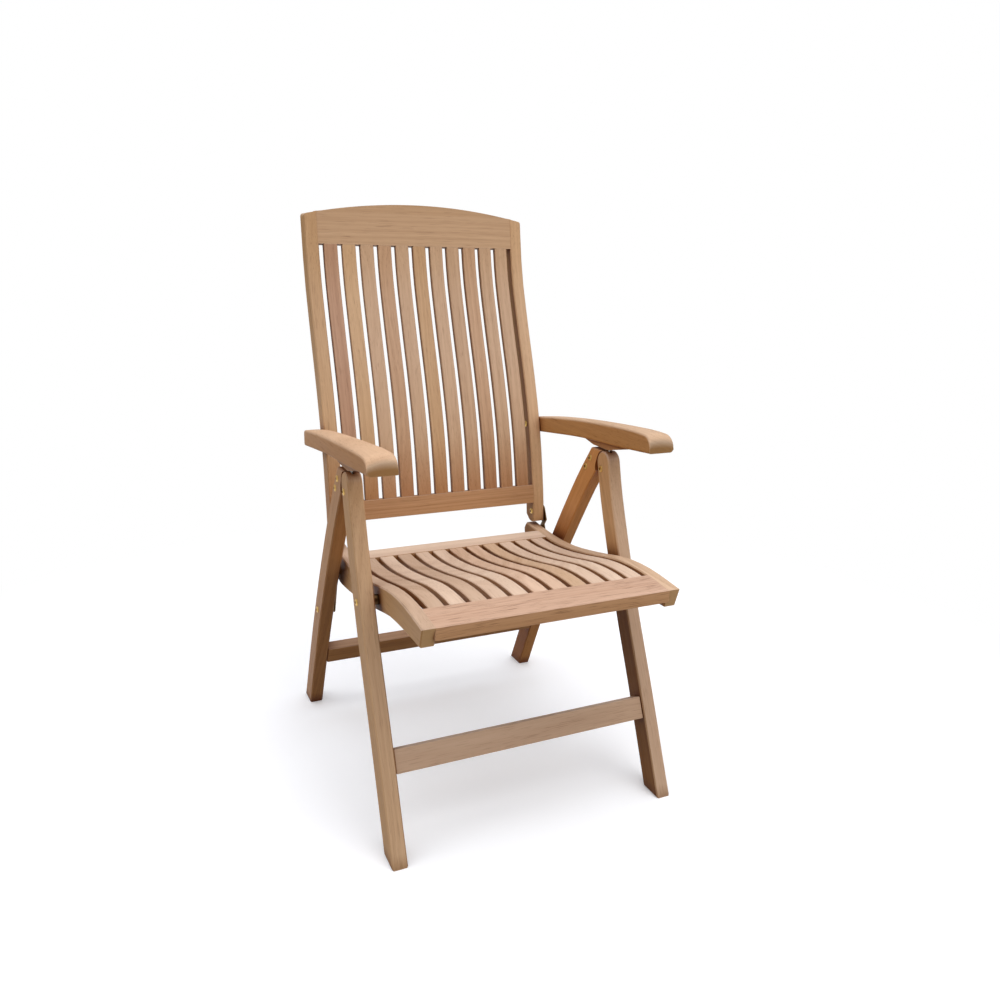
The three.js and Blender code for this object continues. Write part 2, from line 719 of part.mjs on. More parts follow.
function buildBolts() {
  addPair('leg_pivot_bolt', bolt(legPivot, legInnerX, legOuterX), brass);
  const spacer = crossRod(seatPivot, spacerRadius, railOuterX + runningGap, legInnerX - jointGap);
  addPair('seat_pivot_bolt', bolt(seatPivot, railInnerX - runningGap, legOuterX, [spacer]), brass);
  const linkOuterX = linkInnerX + linkThick;
  const linkBolt = join([
    crossRod(linkLowPivot, boltRadius, legInnerX - headTall, legOuterX + shankOverlap),
    crossRod(linkLowPivot, spacerRadius, linkOuterX + runningGap, legInnerX - jointGap),
    domeHead(linkLowPivot, headRadius, headTall, legOuterX, 1),
  ]);
  addPair('rear_link_bolt', cut(linkBolt, [keySocket(linkLowPivot, legOuterX, 1)]), brass);
  addPair('seat_link_pin', bolt(linkHighPivot, railInnerX, linkOuterX + runningGap), brass);
  const strapOuterX = strapUpperX + strapThick + runningGap;
  addPair('back_hinge_bolt', bolt(backPivot, stileInnerX - runningGap, strapOuterX), brass);
  const innerX = stileInnerX - runningGap;
  const washerX = stileOuterX + runningGap;
  const washer = crossRod(armPivot, washerRadius, washerX, washerX + washerThick);
  const armBolt = join([
    crossRod(armPivot, boltRadius, innerX - shankOverlap, armBoltEndX),
    domeHead(armPivot, headRadius, headTall, innerX, -1),
    washer,
  ]);
  addPair('arm_pivot_bolt', cut(armBolt, [keySocket(armPivot, innerX, -1)]), brass);
}

// Link bar with its own cap over the lower end, where the bar meets the rear leg's spacer
function buildLinkBars() {
  const outline = hullOutline([[linkLowPivot, linkRadius], [linkHighPivot, linkRadius]]);
  const strip = sidePrism(outline, linkInnerX, linkInnerX + linkThick);
  const bar = cut(strip, [pinHole(linkHighPivot, linkInnerX, linkInnerX)]);
  const cap = domeHead(linkLowPivot, headRadius, linkCapTall, linkInnerX, -1);
  addPair('link_bar', join([bar, cap]), zinc);
}

// Cranked strap from the seat rail's outer face to the outside of the back stile
function buildHingeStraps() {
  const down = vec(linkHighPivot).sub(vec(backPivot));
  const length = down.length();
  down.normalize();
  const lowX = railOuterX;
  const outline = [
    [strapUpperX, -strapRadius], [strapUpperX + strapThick, -strapRadius],
    [strapUpperX + strapThick, crankStart], [lowX + strapThick, crankEnd],
    [lowX + strapThick, length + strapRadius], [lowX, length + strapRadius],
    [lowX, crankEnd], [strapUpperX, crankStart],
  ].map(([x, along]) => new THREE.Vector2(x, along));
  const shape = new THREE.Shape(outline);
  const strip = new THREE.ExtrudeGeometry(shape, { depth: 2 * strapRadius, bevelEnabled: false });
  strip.translate(0, 0, -strapRadius);
  const basis = new THREE.Matrix4().makeBasis(
    new THREE.Vector3(1, 0, 0),
    new THREE.Vector3(0, down.x, down.y),
    new THREE.Vector3(0, -down.y, down.x),
  );
  strip.applyMatrix4(basis);
  strip.translate(0, backPivot[0], backPivot[1]);
  const rounded = sidePrism(
    hullOutline([backPivot, linkHighPivot].map((pivot) => [pivot, strapRadius - strapTrim])),
    lowX - cutOverrun,
    strapUpperX + strapThick + cutOverrun,
  );
  const holes = [backPivot, linkHighPivot].map((pivot) => pinHole(pivot, lowX, strapUpperX));
  addPair('back_hinge_strap', cut(common(strip, rounded), holes), zinc);
}

buildFrontLegs();
buildRearLegs();
buildStretcher('front_leg_stretcher', frontLegCurve, frontStretcherHeight, frontStretcherSetback);
buildStretcher('rear_leg_stretcher', rearLegCurve, rearStretcherHeight, rearStretcherSetback);
buildSeatRails();
buildSeatInfill();
buildBack();
buildArms();
buildRacks();
buildLegTopPlates();
buildBolts();
buildLinkBars();
buildHingeStraps();

// Rest the chair on the ground with the middle of its outline over the origin
const outline = new THREE.Box3().setFromObject(chair);
const middle = outline.getCenter(new THREE.Vector3());
chair.children.forEach((mesh) => mesh.geometry.translate(-middle.x, -middle.y, -outline.min.z));

export default chair;
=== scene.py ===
import math
import bpy
from mathutils import Matrix, Vector


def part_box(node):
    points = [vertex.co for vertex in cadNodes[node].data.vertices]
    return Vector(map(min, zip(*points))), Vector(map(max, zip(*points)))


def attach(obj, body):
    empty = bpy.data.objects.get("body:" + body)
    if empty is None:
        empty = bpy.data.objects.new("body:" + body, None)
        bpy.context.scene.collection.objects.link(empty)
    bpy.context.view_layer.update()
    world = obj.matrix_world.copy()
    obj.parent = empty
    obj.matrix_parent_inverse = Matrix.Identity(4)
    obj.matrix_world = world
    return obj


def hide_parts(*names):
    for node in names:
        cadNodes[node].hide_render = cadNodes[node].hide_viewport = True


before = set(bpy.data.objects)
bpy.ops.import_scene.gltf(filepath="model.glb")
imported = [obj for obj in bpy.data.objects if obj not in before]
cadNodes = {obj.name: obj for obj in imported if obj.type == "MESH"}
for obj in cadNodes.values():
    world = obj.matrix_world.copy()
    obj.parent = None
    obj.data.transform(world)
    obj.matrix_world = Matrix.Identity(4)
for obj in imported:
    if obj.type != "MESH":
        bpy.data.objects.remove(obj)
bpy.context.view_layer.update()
print("frame loaded:", len(cadNodes), "pieces")


# the next functions build node trees and are used by every material below
def addNode(tree, kind, inputs=None, **settings):
    node = tree.nodes.new(kind)
    for name, value in settings.items():
        setattr(node, name, value)
    for name, value in (inputs or {}).items():
        if isinstance(value, bpy.types.NodeSocket):
            tree.links.new(value, node.inputs[name])
        else:
            node.inputs[name].default_value = value
    return node


def mathNode(tree, operation, first, second=0.0, clamp=False):
    inputs = {0: first, 1: second}
    return addNode(tree, "ShaderNodeMath", inputs, operation=operation, use_clamp=clamp).outputs[0]


def vectorNode(tree, operation, first, second=(0.0, 0.0, 0.0)):
    return addNode(tree, "ShaderNodeVectorMath", {0: first, 1: second}, operation=operation).outputs


def axisValue(tree, vector, axis):
    return addNode(tree, "ShaderNodeSeparateXYZ", {0: vector}).outputs[axis]


def ramp(tree, value, start, end, low=0.0, high=1.0, kind="LINEAR"):
    inputs = {"Value": value, "From Min": start, "From Max": end, "To Min": low, "To Max": high}
    return addNode(tree, "ShaderNodeMapRange", inputs, interpolation_type=kind).outputs["Result"]


def mixColour(tree, factor, first, second, blend="MIX"):
    inputs = {0: factor, 6: first, 7: second}
    return addNode(tree, "ShaderNodeMix", inputs, data_type="RGBA", blend_type=blend).outputs[2]


def tintColour(tree, share, colour, tint):
    return mixColour(tree, share, colour, mixColour(tree, 1.0, colour, tint, "MULTIPLY"))


def newGroup(name, inputs, outputs):
    group = bpy.data.node_groups.new(name, "ShaderNodeTree")
    for label, kind, value in inputs:
        socket = group.interface.new_socket(label, in_out="INPUT", socket_type=kind)
        if value is not None:
            socket.default_value = value
    for label, kind in outputs:
        group.interface.new_socket(label, in_out="OUTPUT", socket_type=kind)
    source = group.nodes.new("NodeGroupInput")
    target = group.nodes.new("NodeGroupOutput")
    return group, source.outputs, target.inputs


def linear(red, green, blue):
    # a colour as seen on a screen, 0 to 255, turned into linear values by the sRGB curve
    def channel(value):
        share = value / 255
        return share / 12.92 if share <= 0.04045 else ((share + 0.055) / 1.055) ** 2.4
    return (channel(red), channel(green), channel(blue), 1.0)


# growth rings, fibres and pores of teak, in board space with the grain along Y
teakFigure = {
    "warpScale": (5.0, 1.1, 5.0),
    "warpReach": 0.022,
    "warpDetail": 2.0,
    "ringsPerMetre": 150.0,
    "ringStrength": 0.38,
    "ringContrast": 2.6,
    "ringDetail": 3.0,
    "ringRoughness": 0.6,
    "fibreScale": (380.0, 7.0, 380.0),
    "fibreDetail": 2.0,
    "fibreContrast": 0.55,
    "fibreRelief": 0.4,
    "poreScale": (900.0, 22.0, 900.0),
    "poreDetail": 1.0,
    "poreThreshold": 0.60,
    "poreSoftness": 0.1,
    "poresEverywhere": 0.2,
    "patchScale": (8.0, 1.4, 8.0),
    "patchDetail": 2.0,
    "patchContrast": 1.1,
    "middleTone": 0.45,
}


def scaledCopy(tree, vector, scale):
    return vectorNode(tree, "MULTIPLY", vector, scale)[0]


def figureNoise(tree, vector, figure):
    scaled = scaledCopy(tree, vector, teakFigure[figure + "Scale"])
    inputs = {"Vector": scaled, "Scale": 1.0, "Detail": teakFigure[figure + "Detail"]}
    return addNode(tree, "ShaderNodeTexNoise", inputs).outputs


def contrastTone(tree, noise, contrast):
    return mathNode(tree, "MULTIPLY", mathNode(tree, "SUBTRACT", noise, 0.5), contrast)


def warpedBoard(group, board):
    warp = figureNoise(group, board, "warp")["Color"]
    centred = vectorNode(group, "SUBTRACT", warp, (0.5, 0.5, 0.5))[0]
    reach = teakFigure["warpReach"]
    return vectorNode(group, "ADD", board, scaledCopy(group, centred, (reach, 0.0, reach)))[0]


def growthRings(group, bent, pith):
    flat = scaledCopy(group, vectorNode(group, "ADD", bent, pith)[0], (1.0, 0.0, 1.0))
    radius = vectorNode(group, "LENGTH", flat)["Value"]
    ringPlace = mathNode(group, "MULTIPLY", radius, teakFigure["ringsPerMetre"])
    inputs = {
        "W": ringPlace, "Scale": 1.0,
        "Detail": teakFigure["ringDetail"], "Roughness": teakFigure["ringRoughness"],
    }
    return addNode(group, "ShaderNodeTexNoise", inputs, noise_dimensions="1D").outputs["Fac"]


def buildTeakGroup():
    inputs = [
        ("Board", "NodeSocketVector", None),
        ("Pith", "NodeSocketVector", (0.09, 0.0, 0.05)),
        ("Pale", "NodeSocketColor", linear(205, 170, 135)),
        ("Deep", "NodeSocketColor", linear(168, 124, 86)),
        ("Pore Tone", "NodeSocketColor", linear(112, 76, 50)),
        ("Ring Strength", "NodeSocketFloat", 0.5),
        ("Pore Strength", "NodeSocketFloat", 0.4),
    ]
    outputs = [("Colour", "NodeSocketColor"), ("Height", "NodeSocketFloat")]
    group, source, target = newGroup("teakFigure", inputs, outputs)
    board = source["Board"]
    bent = warpedBoard(group, board)
    rings = growthRings(group, bent, source["Pith"])
    fibres = figureNoise(group, bent, "fibre")["Fac"]
    poreNoise = figureNoise(group, bent, "pore")["Fac"]
    patches = figureNoise(group, board, "patch")["Fac"]
    ringTone = mathNode(group, "MULTIPLY", contrastTone(group, rings, source["Ring Strength"]),
                        teakFigure["ringContrast"])
    fibreTone = contrastTone(group, fibres, teakFigure["fibreContrast"])
    patchTone = contrastTone(group, patches, teakFigure["patchContrast"])
    tone = mathNode(group, "ADD", mathNode(group, "ADD", ringTone, fibreTone), patchTone)
    tone = mathNode(group, "ADD", tone, teakFigure["middleTone"], clamp=True)
    body = mixColour(group, tone, source["Pale"], source["Deep"])
    # pores show most where the rings are dense
    poreStart = teakFigure["poreThreshold"]
    poreMask = ramp(group, poreNoise, poreStart, poreStart + teakFigure["poreSoftness"])
    density = mathNode(group, "ADD", rings, teakFigure["poresEverywhere"])
    late = mathNode(group, "MULTIPLY", poreMask, density)
    poreShare = mathNode(group, "MULTIPLY", late, source["Pore Strength"], clamp=True)
    relief = mathNode(group, "MULTIPLY", fibres, teakFigure["fibreRelief"])
    group.links.new(mixColour(group, poreShare, body, source["Pore Tone"]), target["Colour"])
    group.links.new(mathNode(group, "SUBTRACT", relief, poreShare), target["Height"])
    return group


# masks used by the materials: worn edges, tarnish and painted shade in corners; reach and radius in
# metres
sharedMasks = {
    "edgeRadius": 0.0025,
    "edgeSamples": 4,
    "edgeFacing": (0.995, 0.90),
    "speckleScale": 900.0,
    "speckleAmount": 0.5,
    "speckleDetail": 4.0,
    "speckleRoughness": 0.65,
    "speckleSpread": (0.42, 0.68),
    "recessReach": 0.03,
    "recessSamples": 8,
    "recessOpenness": (0.95, 0.35),
}


def buildEdgeGroup():
    inputs = [("Radius", "NodeSocketFloat", sharedMasks["edgeRadius"])]
    group, source, target = newGroup("softenedEdge", inputs, [("Mask", "NodeSocketFloat")])
    radius = {"Radius": source["Radius"]}
    rounded = addNode(group, "ShaderNodeBevel", radius, samples=sharedMasks["edgeSamples"]).outputs[0]
    normal = addNode(group, "ShaderNodeNewGeometry").outputs["Normal"]
    facing = vectorNode(group, "DOT_PRODUCT", rounded, normal)["Value"]
    group.links.new(ramp(group, facing, *sharedMasks["edgeFacing"]), target["Mask"])
    return group


def buildSpeckleGroup():
    inputs = [
        ("Vector", "NodeSocketVector", None),
        ("Scale", "NodeSocketFloat", sharedMasks["speckleScale"]),
        ("Amount", "NodeSocketFloat", sharedMasks["speckleAmount"]),
    ]
    outputs = [("Mask", "NodeSocketFloat"), ("Height", "NodeSocketFloat")]
    group, source, target = newGroup("tarnishSpeckle", inputs, outputs)
    noise = addNode(group, "ShaderNodeTexNoise", {
        "Vector": source["Vector"], "Scale": source["Scale"],
        "Detail": sharedMasks["speckleDetail"], "Roughness": sharedMasks["speckleRoughness"],
    }).outputs["Fac"]
    spread = ramp(group, noise, *sharedMasks["speckleSpread"])
    group.links.new(mathNode(group, "MULTIPLY", spread, source["Amount"], clamp=True), target["Mask"])
    group.links.new(noise, target["Height"])
    return group


# painted shade: how closed in a point is, used to darken gaps and corners
def buildRecessShadeGroup():
    inputs = [("Reach", "NodeSocketFloat", sharedMasks["recessReach"])]
    group, source, target = newGroup("recessShadeMask", inputs, [("Mask", "NodeSocketFloat")])
    reach = {"Distance": source["Reach"]}
    samples = sharedMasks["recessSamples"]
    openness = addNode(group, "ShaderNodeAmbientOcclusion", reach, samples=samples).outputs["AO"]
    group.links.new(ramp(group, openness, *sharedMasks["recessOpenness"]), target["Mask"])
    return group


teakGroup = buildTeakGroup()
edgeGroup = buildEdgeGroup()
speckleGroup = buildSpeckleGroup()
recessShadeGroup = buildRecessShadeGroup()
print("shared effects built")

# tones of sawn and sanded teak: pale and deep colour of each, as seen in plain daylight
teakTones = {
    "tan": ((206, 176, 150), (178, 145, 118)),
    "rosy": ((188, 151, 127), (160, 121, 97)),
    "honey": ((206, 173, 139), (178, 141, 106)),
    "umber": ((203, 169, 141), (174, 138, 110)),
    "blush": ((223, 190, 163), (194, 158, 129)),
    "pale": ((225, 198, 173), (199, 167, 141)),
    "fair": ((214, 181, 149), (186, 150, 117)),
    "golden": ((218, 181, 146), (190, 149, 114)),
    "brown": ((196, 157, 124), (160, 118, 86)),
    "russet": ((214, 166, 122), (184, 134, 88)),
    "pink": ((212, 177, 151), (178, 138, 111)),
}
# painted shade in recesses and under the seat, soiling and worn edges on the bare tones
teakTints = {
    "recessShade": (0.46, 0.26, 0.13, 1.0),
    "underSeatShade": (0.52, 0.36, 0.17, 1.0),
    "soiled": (0.80, 0.78, 0.72, 1.0),
    "wornEdge": (232, 205, 176),
}
# painted shade on the faces that don't look up and low on the back, and tone of the cut ends, which on
# the frame is partly painted light
frameTints = {"sideShade": (0.97, 0.84, 0.57, 1.0), "endGrain": (218, 198, 184)}
legTints = {**frameTints, "sideShade": (0.96, 0.81, 0.50, 1.0)}
backTints = {"lowBackShade": (0.78, 0.62, 0.50, 1.0), **frameTints}
armTints = {"sideShade": (0.76, 0.54, 0.22, 1.0), "endGrain": (150, 132, 112)}
# where each change starts and ends, by the face's direction or its height in metres
teakWear = {
    "endFacing": (0.72, 0.93),
    "endShare": 0.55,
    "sideShadeFacing": (0.45, -0.1),
    "inwardFacing": (-0.5, -0.9),
    "seatShade": (0.48, 0.38),
    "lowBackShade": (0.61, 0.50),
    "soil": (0.026, 0.004),
    "soilRaggedness": 0.02,
    "edgeShare": 0.16,
    "reliefRange": (-0.2, 0.4),
    "roughness": (0.64, 0.44),
    "specular": 0.2,
    "bumpStrength": 0.35,
    "bumpDepth": 0.0004,
}
# how one board's cut differs from the next
boardCuts = {
    "shift": (0.137, 0.731, 0.093),
    "pithAcross": {"first": 0.05, "step": 0.021, "cuts": 5},
    "pithUp": {"first": 0.04, "step": 0.017, "cuts": 3},
}


def pithPlace(cut, seed, shift):
    return cut["first"] + cut["step"] * (seed % cut["cuts"]) - shift


def boardFigure(tree, place, grain, tone, seed, poreStrength):
    if abs(grain.x) > max(abs(grain.y), abs(grain.z)):
        rotation = (0.0, 0.0, math.pi / 2)
    else:
        rotation = (-math.atan2(grain.z, grain.y), 0.0, 0.0)
    shift = tuple(step * seed for step in boardCuts["shift"])
    board = addNode(tree, "ShaderNodeMapping", {
        "Vector": place["Object"], "Location": shift, "Rotation": rotation,
    }).outputs["Vector"]
    pale, deep = teakTones[tone]
    across = pithPlace(boardCuts["pithAcross"], seed, shift[0])
    up = pithPlace(boardCuts["pithUp"], seed, shift[2])
    return addNode(tree, "ShaderNodeGroup", {
        "Board": board, "Pith": (across, 0.0, up), "Pale": linear(*pale), "Deep": linear(*deep),
        "Ring Strength": teakFigure["ringStrength"], "Pore Strength": poreStrength,
    }, node_tree=teakGroup).outputs


def cutEnds(tree, place, grain, colour, tints):
    # end grain shows where the face looks along the grain; the frame's pale end tone is partly the cut
    # wood's own tone and partly painted light on the lit ends
    along = vectorNode(tree, "DOT_PRODUCT", place["Normal"], tuple(grain))["Value"]
    facing = mathNode(tree, "ABSOLUTE", along)
    endMask = ramp(tree, facing, *teakWear["endFacing"], high=teakWear["endShare"])
    return mixColour(tree, endMask, colour, linear(*tints["endGrain"]))


def paintTeakShade(tree, place, colour, height, tints):
    # painted shade: faces that don't look up get a deeper and warmer tint than the tops, as if lit less
    upward = axisValue(tree, addNode(tree, "ShaderNodeNewGeometry").outputs["Normal"], "Z")
    sideShade = ramp(tree, upward, *teakWear["sideShadeFacing"])
    colour = tintColour(tree, sideShade, colour, tints["sideShade"])
    # painted shade: narrow gaps and inner corners are darkened to a deep brown
    recessShade = addNode(tree, "ShaderNodeGroup", node_tree=recessShadeGroup).outputs["Mask"]
    colour = tintColour(tree, recessShade, colour, teakTints["recessShade"])
    # painted shade: faces under the seat that look towards the middle of the chair are darkened, as if
    # in the seat's shadow
    side = mathNode(tree, "SIGN", axisValue(tree, place["Object"], "X"))
    outward = mathNode(tree, "MULTIPLY", axisValue(tree, place["Normal"], "X"), side)
    inward = ramp(tree, outward, *teakWear["inwardFacing"])
    low = ramp(tree, height, *teakWear["seatShade"])
    colour = tintColour(tree, mathNode(tree, "MULTIPLY", inward, low), colour, teakTints["underSeatShade"])
    # painted shade: the back is darkened low down, where the seat and the arms shade it
    if "lowBackShade" in tints:
        colour = tintColour(tree, ramp(tree, height, *teakWear["lowBackShade"]), colour, tints["lowBackShade"])
    return colour


def soilTeak(tree, colour, height, relief):
    # the lowest end of each leg is soiled from standing outdoors
    ragged = mathNode(tree, "MULTIPLY", relief, teakWear["soilRaggedness"])
    soil = ramp(tree, mathNode(tree, "ADD", height, ragged), *teakWear["soil"])
    return tintColour(tree, soil, colour, teakTints["soiled"])


def wearEdges(tree, colour):
    edge = addNode(tree, "ShaderNodeGroup", node_tree=edgeGroup).outputs["Mask"]
    worn = mathNode(tree, "MULTIPLY", edge, teakWear["edgeShare"])
    return mixColour(tree, worn, colour, linear(*teakTints["wornEdge"]))


def makeTeak(name, grain, tone, seed, tints, poreStrength):
    material = bpy.data.materials.new(name)
    material.use_nodes = True
    tree = material.node_tree
    shader = tree.nodes["Principled BSDF"].inputs
    place = addNode(tree, "ShaderNodeTexCoord").outputs
    figure = boardFigure(tree, place, grain, tone, seed, poreStrength)
    relief = figure["Height"]
    height = axisValue(tree, place["Object"], "Z")
    colour = cutEnds(tree, place, grain, figure["Colour"], tints)
    colour = paintTeakShade(tree, place, colour, height, tints)
    colour = soilTeak(tree, colour, height, relief)
    tree.links.new(wearEdges(tree, colour), shader["Base Color"])
    rough = ramp(tree, relief, *teakWear["reliefRange"], *teakWear["roughness"])
    tree.links.new(rough, shader["Roughness"])
    shader["Specular IOR Level"].default_value = teakWear["specular"]
    bump = addNode(tree, "ShaderNodeBump", {
        "Height": relief, "Strength": teakWear["bumpStrength"], "Distance": teakWear["bumpDepth"],
    })
    tree.links.new(bump.outputs["Normal"], shader["Normal"])
    return material


# distances across the chair in metres: the leg's middle, half its thickness and its inner face
metalPlaces = {"legMiddle": 0.26175, "legHalf": 0.0132, "legInner": 0.2479}
metalWear = {
    "edgeRadius": 0.0006,
    "edgeShare": 0.3,
    "recessReach": 0.004,
    "recessShadeTone": (96, 70, 40),
    "tarnishRoughness": 0.25,
    "bumpStrength": 0.2,
    "bumpDepth": 0.0001,
}
metalTones = {
    "agedBrass": {
        "clean": (216, 178, 104), "tarnished": (136, 98, 50), "roughness": 0.28, "amount": 0.4,
    },
    "spacerShadedBrass": {
        "clean": (216, 178, 104), "tarnished": (136, 98, 50), "roughness": 0.3, "amount": 0.4,
        "spacerShadeTone": (78, 56, 34),
    },
    "patinaShadeBrass": {
        "clean": (128, 98, 52), "tarnished": (70, 50, 24), "roughness": 0.42, "amount": 0.6,
    },
    "dullZinc": {
        "clean": (196, 194, 188), "tarnished": (122, 114, 104), "roughness": 0.4, "amount": 0.5,
        "headTone": (208, 170, 96),
    },
}


def partTone(tree, place, colour, tones):
    across = mathNode(tree, "ABSOLUTE", axisValue(tree, place, "X"))
    if "headTone" in tones:
        # the heads stand out of the leg on both sides
        fromMiddle = mathNode(tree, "SUBTRACT", across, metalPlaces["legMiddle"])
        away = mathNode(tree, "ABSOLUTE", fromMiddle)
        head = mathNode(tree, "GREATER_THAN", away, metalPlaces["legHalf"])
        colour = mixColour(tree, head, colour, linear(*tones["headTone"]))
    if "spacerShadeTone" in tones:
        # painted shade, partly tarnish: the spacers in the narrow gap between the legs and the seat are
        # darkened
        spacer = mathNode(tree, "LESS_THAN", across, metalPlaces["legInner"])
        colour = mixColour(tree, spacer, colour, linear(*tones["spacerShadeTone"]))
    return colour


def makeMetal(name):
    tones = metalTones[name]
    material = bpy.data.materials.new(name)
    material.use_nodes = True
    tree = material.node_tree
    shader = tree.nodes["Principled BSDF"].inputs
    place = addNode(tree, "ShaderNodeTexCoord").outputs["Object"]
    speckle = addNode(tree, "ShaderNodeGroup", {
        "Vector": place, "Amount": tones["amount"],
    }, node_tree=speckleGroup).outputs
    clean = linear(*tones["clean"])
    colour = mixColour(tree, speckle["Mask"], clean, linear(*tones["tarnished"]))
    colour = partTone(tree, place, colour, tones)
    # painted shade darkens the corners, and handling polishes the edges
    recessShade = addNode(tree, "ShaderNodeGroup", {
        "Reach": metalWear["recessReach"],
    }, node_tree=recessShadeGroup).outputs["Mask"]
    colour = tintColour(tree, recessShade, colour, linear(*metalWear["recessShadeTone"]))
    edge = addNode(tree, "ShaderNodeGroup", {
        "Radius": metalWear["edgeRadius"],
    }, node_tree=edgeGroup).outputs["Mask"]
    polish = mathNode(tree, "MULTIPLY", edge, metalWear["edgeShare"])
    tree.links.new(mixColour(tree, polish, colour, clean), shader["Base Color"])
    smooth = tones["roughness"]
    rough = ramp(tree, speckle["Mask"], 0.0, 1.0, smooth, smooth + metalWear["tarnishRoughness"])
    tree.links.new(rough, shader["Roughness"])
    shader["Metallic"].default_value = 1.0
    bump = addNode(tree, "ShaderNodeBump", {
        "Height": speckle["Height"], "Strength": metalWear["bumpStrength"],
        "Distance": metalWear["bumpDepth"],
    })
    tree.links.new(bump.outputs["Normal"], shader["Normal"])
    return material


def boxGrain(node):
    # grain along the longest side of the piece's box, leaning the way that the piece leans
    low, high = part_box(node)
    size = high - low
    if size.x > max(size.y, size.z):
        return Vector((1.0, 0.0, 0.0))
    if node.startswith(("seat_", "arm_")):
        return Vector((0.0, 1.0, 0.0))
    lean = -1.0 if node.startswith("rear_leg_") else 1.0
    return Vector((0.0, lean * size.y, size.z)).normalized()


# one tone per piece; slats are listed from the side that faces the camera's left. The rear right leg's
# russet and the back's bottom rail's brown are partly their own tone and partly painted shade, as these
# pieces stand in shade
timberTones = {
    "front_leg_left": "honey", "front_leg_right": "tan", "front_leg_stretcher": "tan",
    "rear_leg_left": "brown", "rear_leg_right": "russet", "rear_leg_stretcher": "brown",
    "seat_side_rail_left": "tan", "seat_side_rail_right": "fair",
    "seat_front_rail": "pink", "seat_rear_rail": "pale",
    "back_stile_left": "honey", "back_stile_right": "fair",
    "back_top_rail": "tan", "back_bottom_rail": "brown",
    "arm_left": "golden", "arm_right": "fair",
    "arm_notch_rack_left": "brown", "arm_notch_rack_right": "brown",
}
backSlatTones = ["rosy", "honey", "tan", "umber", "tan", "honey", "tan", "tan", "umber", "tan", "tan"]
seatSlatTones = ["tan", "pale", "tan", "pale", "pale", "blush", "blush", "fair", "pale", "pale", "pale"]
# how strongly the pores show; the seat's front rail is the coarsest board
poreStrengths = {"plain": 0.4, "seat_front_rail": 1.0}


def toneOf(node):
    if node.startswith("back_slat_"):
        return backSlatTones[int(node[-2:]) - 1]
    if node.startswith("seat_slat_"):
        return seatSlatTones[int(node[-2:]) - 1]
    return timberTones[node]


def tintsOf(node):
    if node in ("arm_left", "arm_right"):
        return armTints
    if node.startswith("back_slat_") or node == "back_stile_left":
        return backTints
    if "_leg_" in node or "_side_rail_" in node:
        return legTints
    return frameTints


metalFinishes = {name: makeMetal(name) for name in metalTones}


def metalOf(node):
    if "plate" in node:
        return metalFinishes["dullZinc"]
    if node.startswith(("seat_pivot", "rear_link", "seat_link")):
        return metalFinishes["spacerShadedBrass"]
    if "bolt" in node:
        return metalFinishes["agedBrass"]
    # the straps and link bars take a dark brass that is partly their own brown patina and partly
    # painted shade, as they sit in shade
    if "strap" in node or "link_bar" in node:
        return metalFinishes["patinaShadeBrass"]
    return None


# small bevels that every piece gets, in metres, and the angle in degrees from which an edge has one
easedEdges = {"timber": 0.0007, "metal": 0.00025, "armBoard": 0.0004, "segments": 2, "angle": 32}
weldDistance = 0.00001


def sealFaces(piece, bevelWidth):
    piece.data.shade_smooth()
    weld = piece.modifiers.new("joinFaces", "WELD")
    weld.merge_threshold = weldDistance
    bevel = piece.modifiers.new("easedEdges", "BEVEL")
    bevel.width = bevelWidth
    bevel.segments = easedEdges["segments"]
    bevel.limit_method = "ANGLE"
    bevel.angle_limit = math.radians(easedEdges["angle"])
    piece.modifiers.new("flatFaces", "WEIGHTED_NORMAL")


def dressNode(node, seed):
    piece = cadNodes[node]
    finish = metalOf(node)
    bevelWidth = easedEdges["metal"]
    if finish is None:
        pores = poreStrengths.get(node, poreStrengths["plain"])
        finish = makeTeak("teak_" + node, boxGrain(node), toneOf(node), seed, tintsOf(node), pores)
        bevelWidth = easedEdges["timber"]
    piece.data.materials.clear()
    piece.data.materials.append(finish)
    sealFaces(piece, bevelWidth)


for number, nodeName in enumerate(sorted(cadNodes), 1):
    dressNode(nodeName, number)
print("teak, brass and steel in place")


def addPiece(name, mesh, body, node):
    # a new piece that stands for the node and keeps its timber
    piece = bpy.data.objects.new(name, mesh)
    bpy.context.scene.collection.objects.link(piece)
    mesh.materials.clear()
    mesh.materials.append(cadNodes[node].data.materials[0])
    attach(piece, body)
    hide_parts(node)
    return piece


# glued rails: their full faces run on to the timbers beside them, so the joint closes flush
railJoints = {
    "endReach": 0.0024,
    "growth": 0.0044,
    "rails": {
        "back_top_rail": "back", "back_bottom_rail": "back",
        "seat_front_rail": "seat", "seat_rear_rail": "seat",
    },
}


def buildFlushRail(node, body):
    mesh = cadNodes[node].data.copy()
    end = max(vertex.co.x for vertex in mesh.vertices)
    for vertex in mesh.vertices:
        if abs(vertex.co.x) > end - railJoints["endReach"]:
            vertex.co.x += math.copysign(railJoints["growth"], vertex.co.x)
    piece = addPiece("flush_" + node, mesh, body, node)
    sealFaces(piece, easedEdges["timber"])


for railNode, railBody in railJoints["rails"].items():
    buildFlushRail(railNode, railBody)
print("rails closed onto their neighbours")

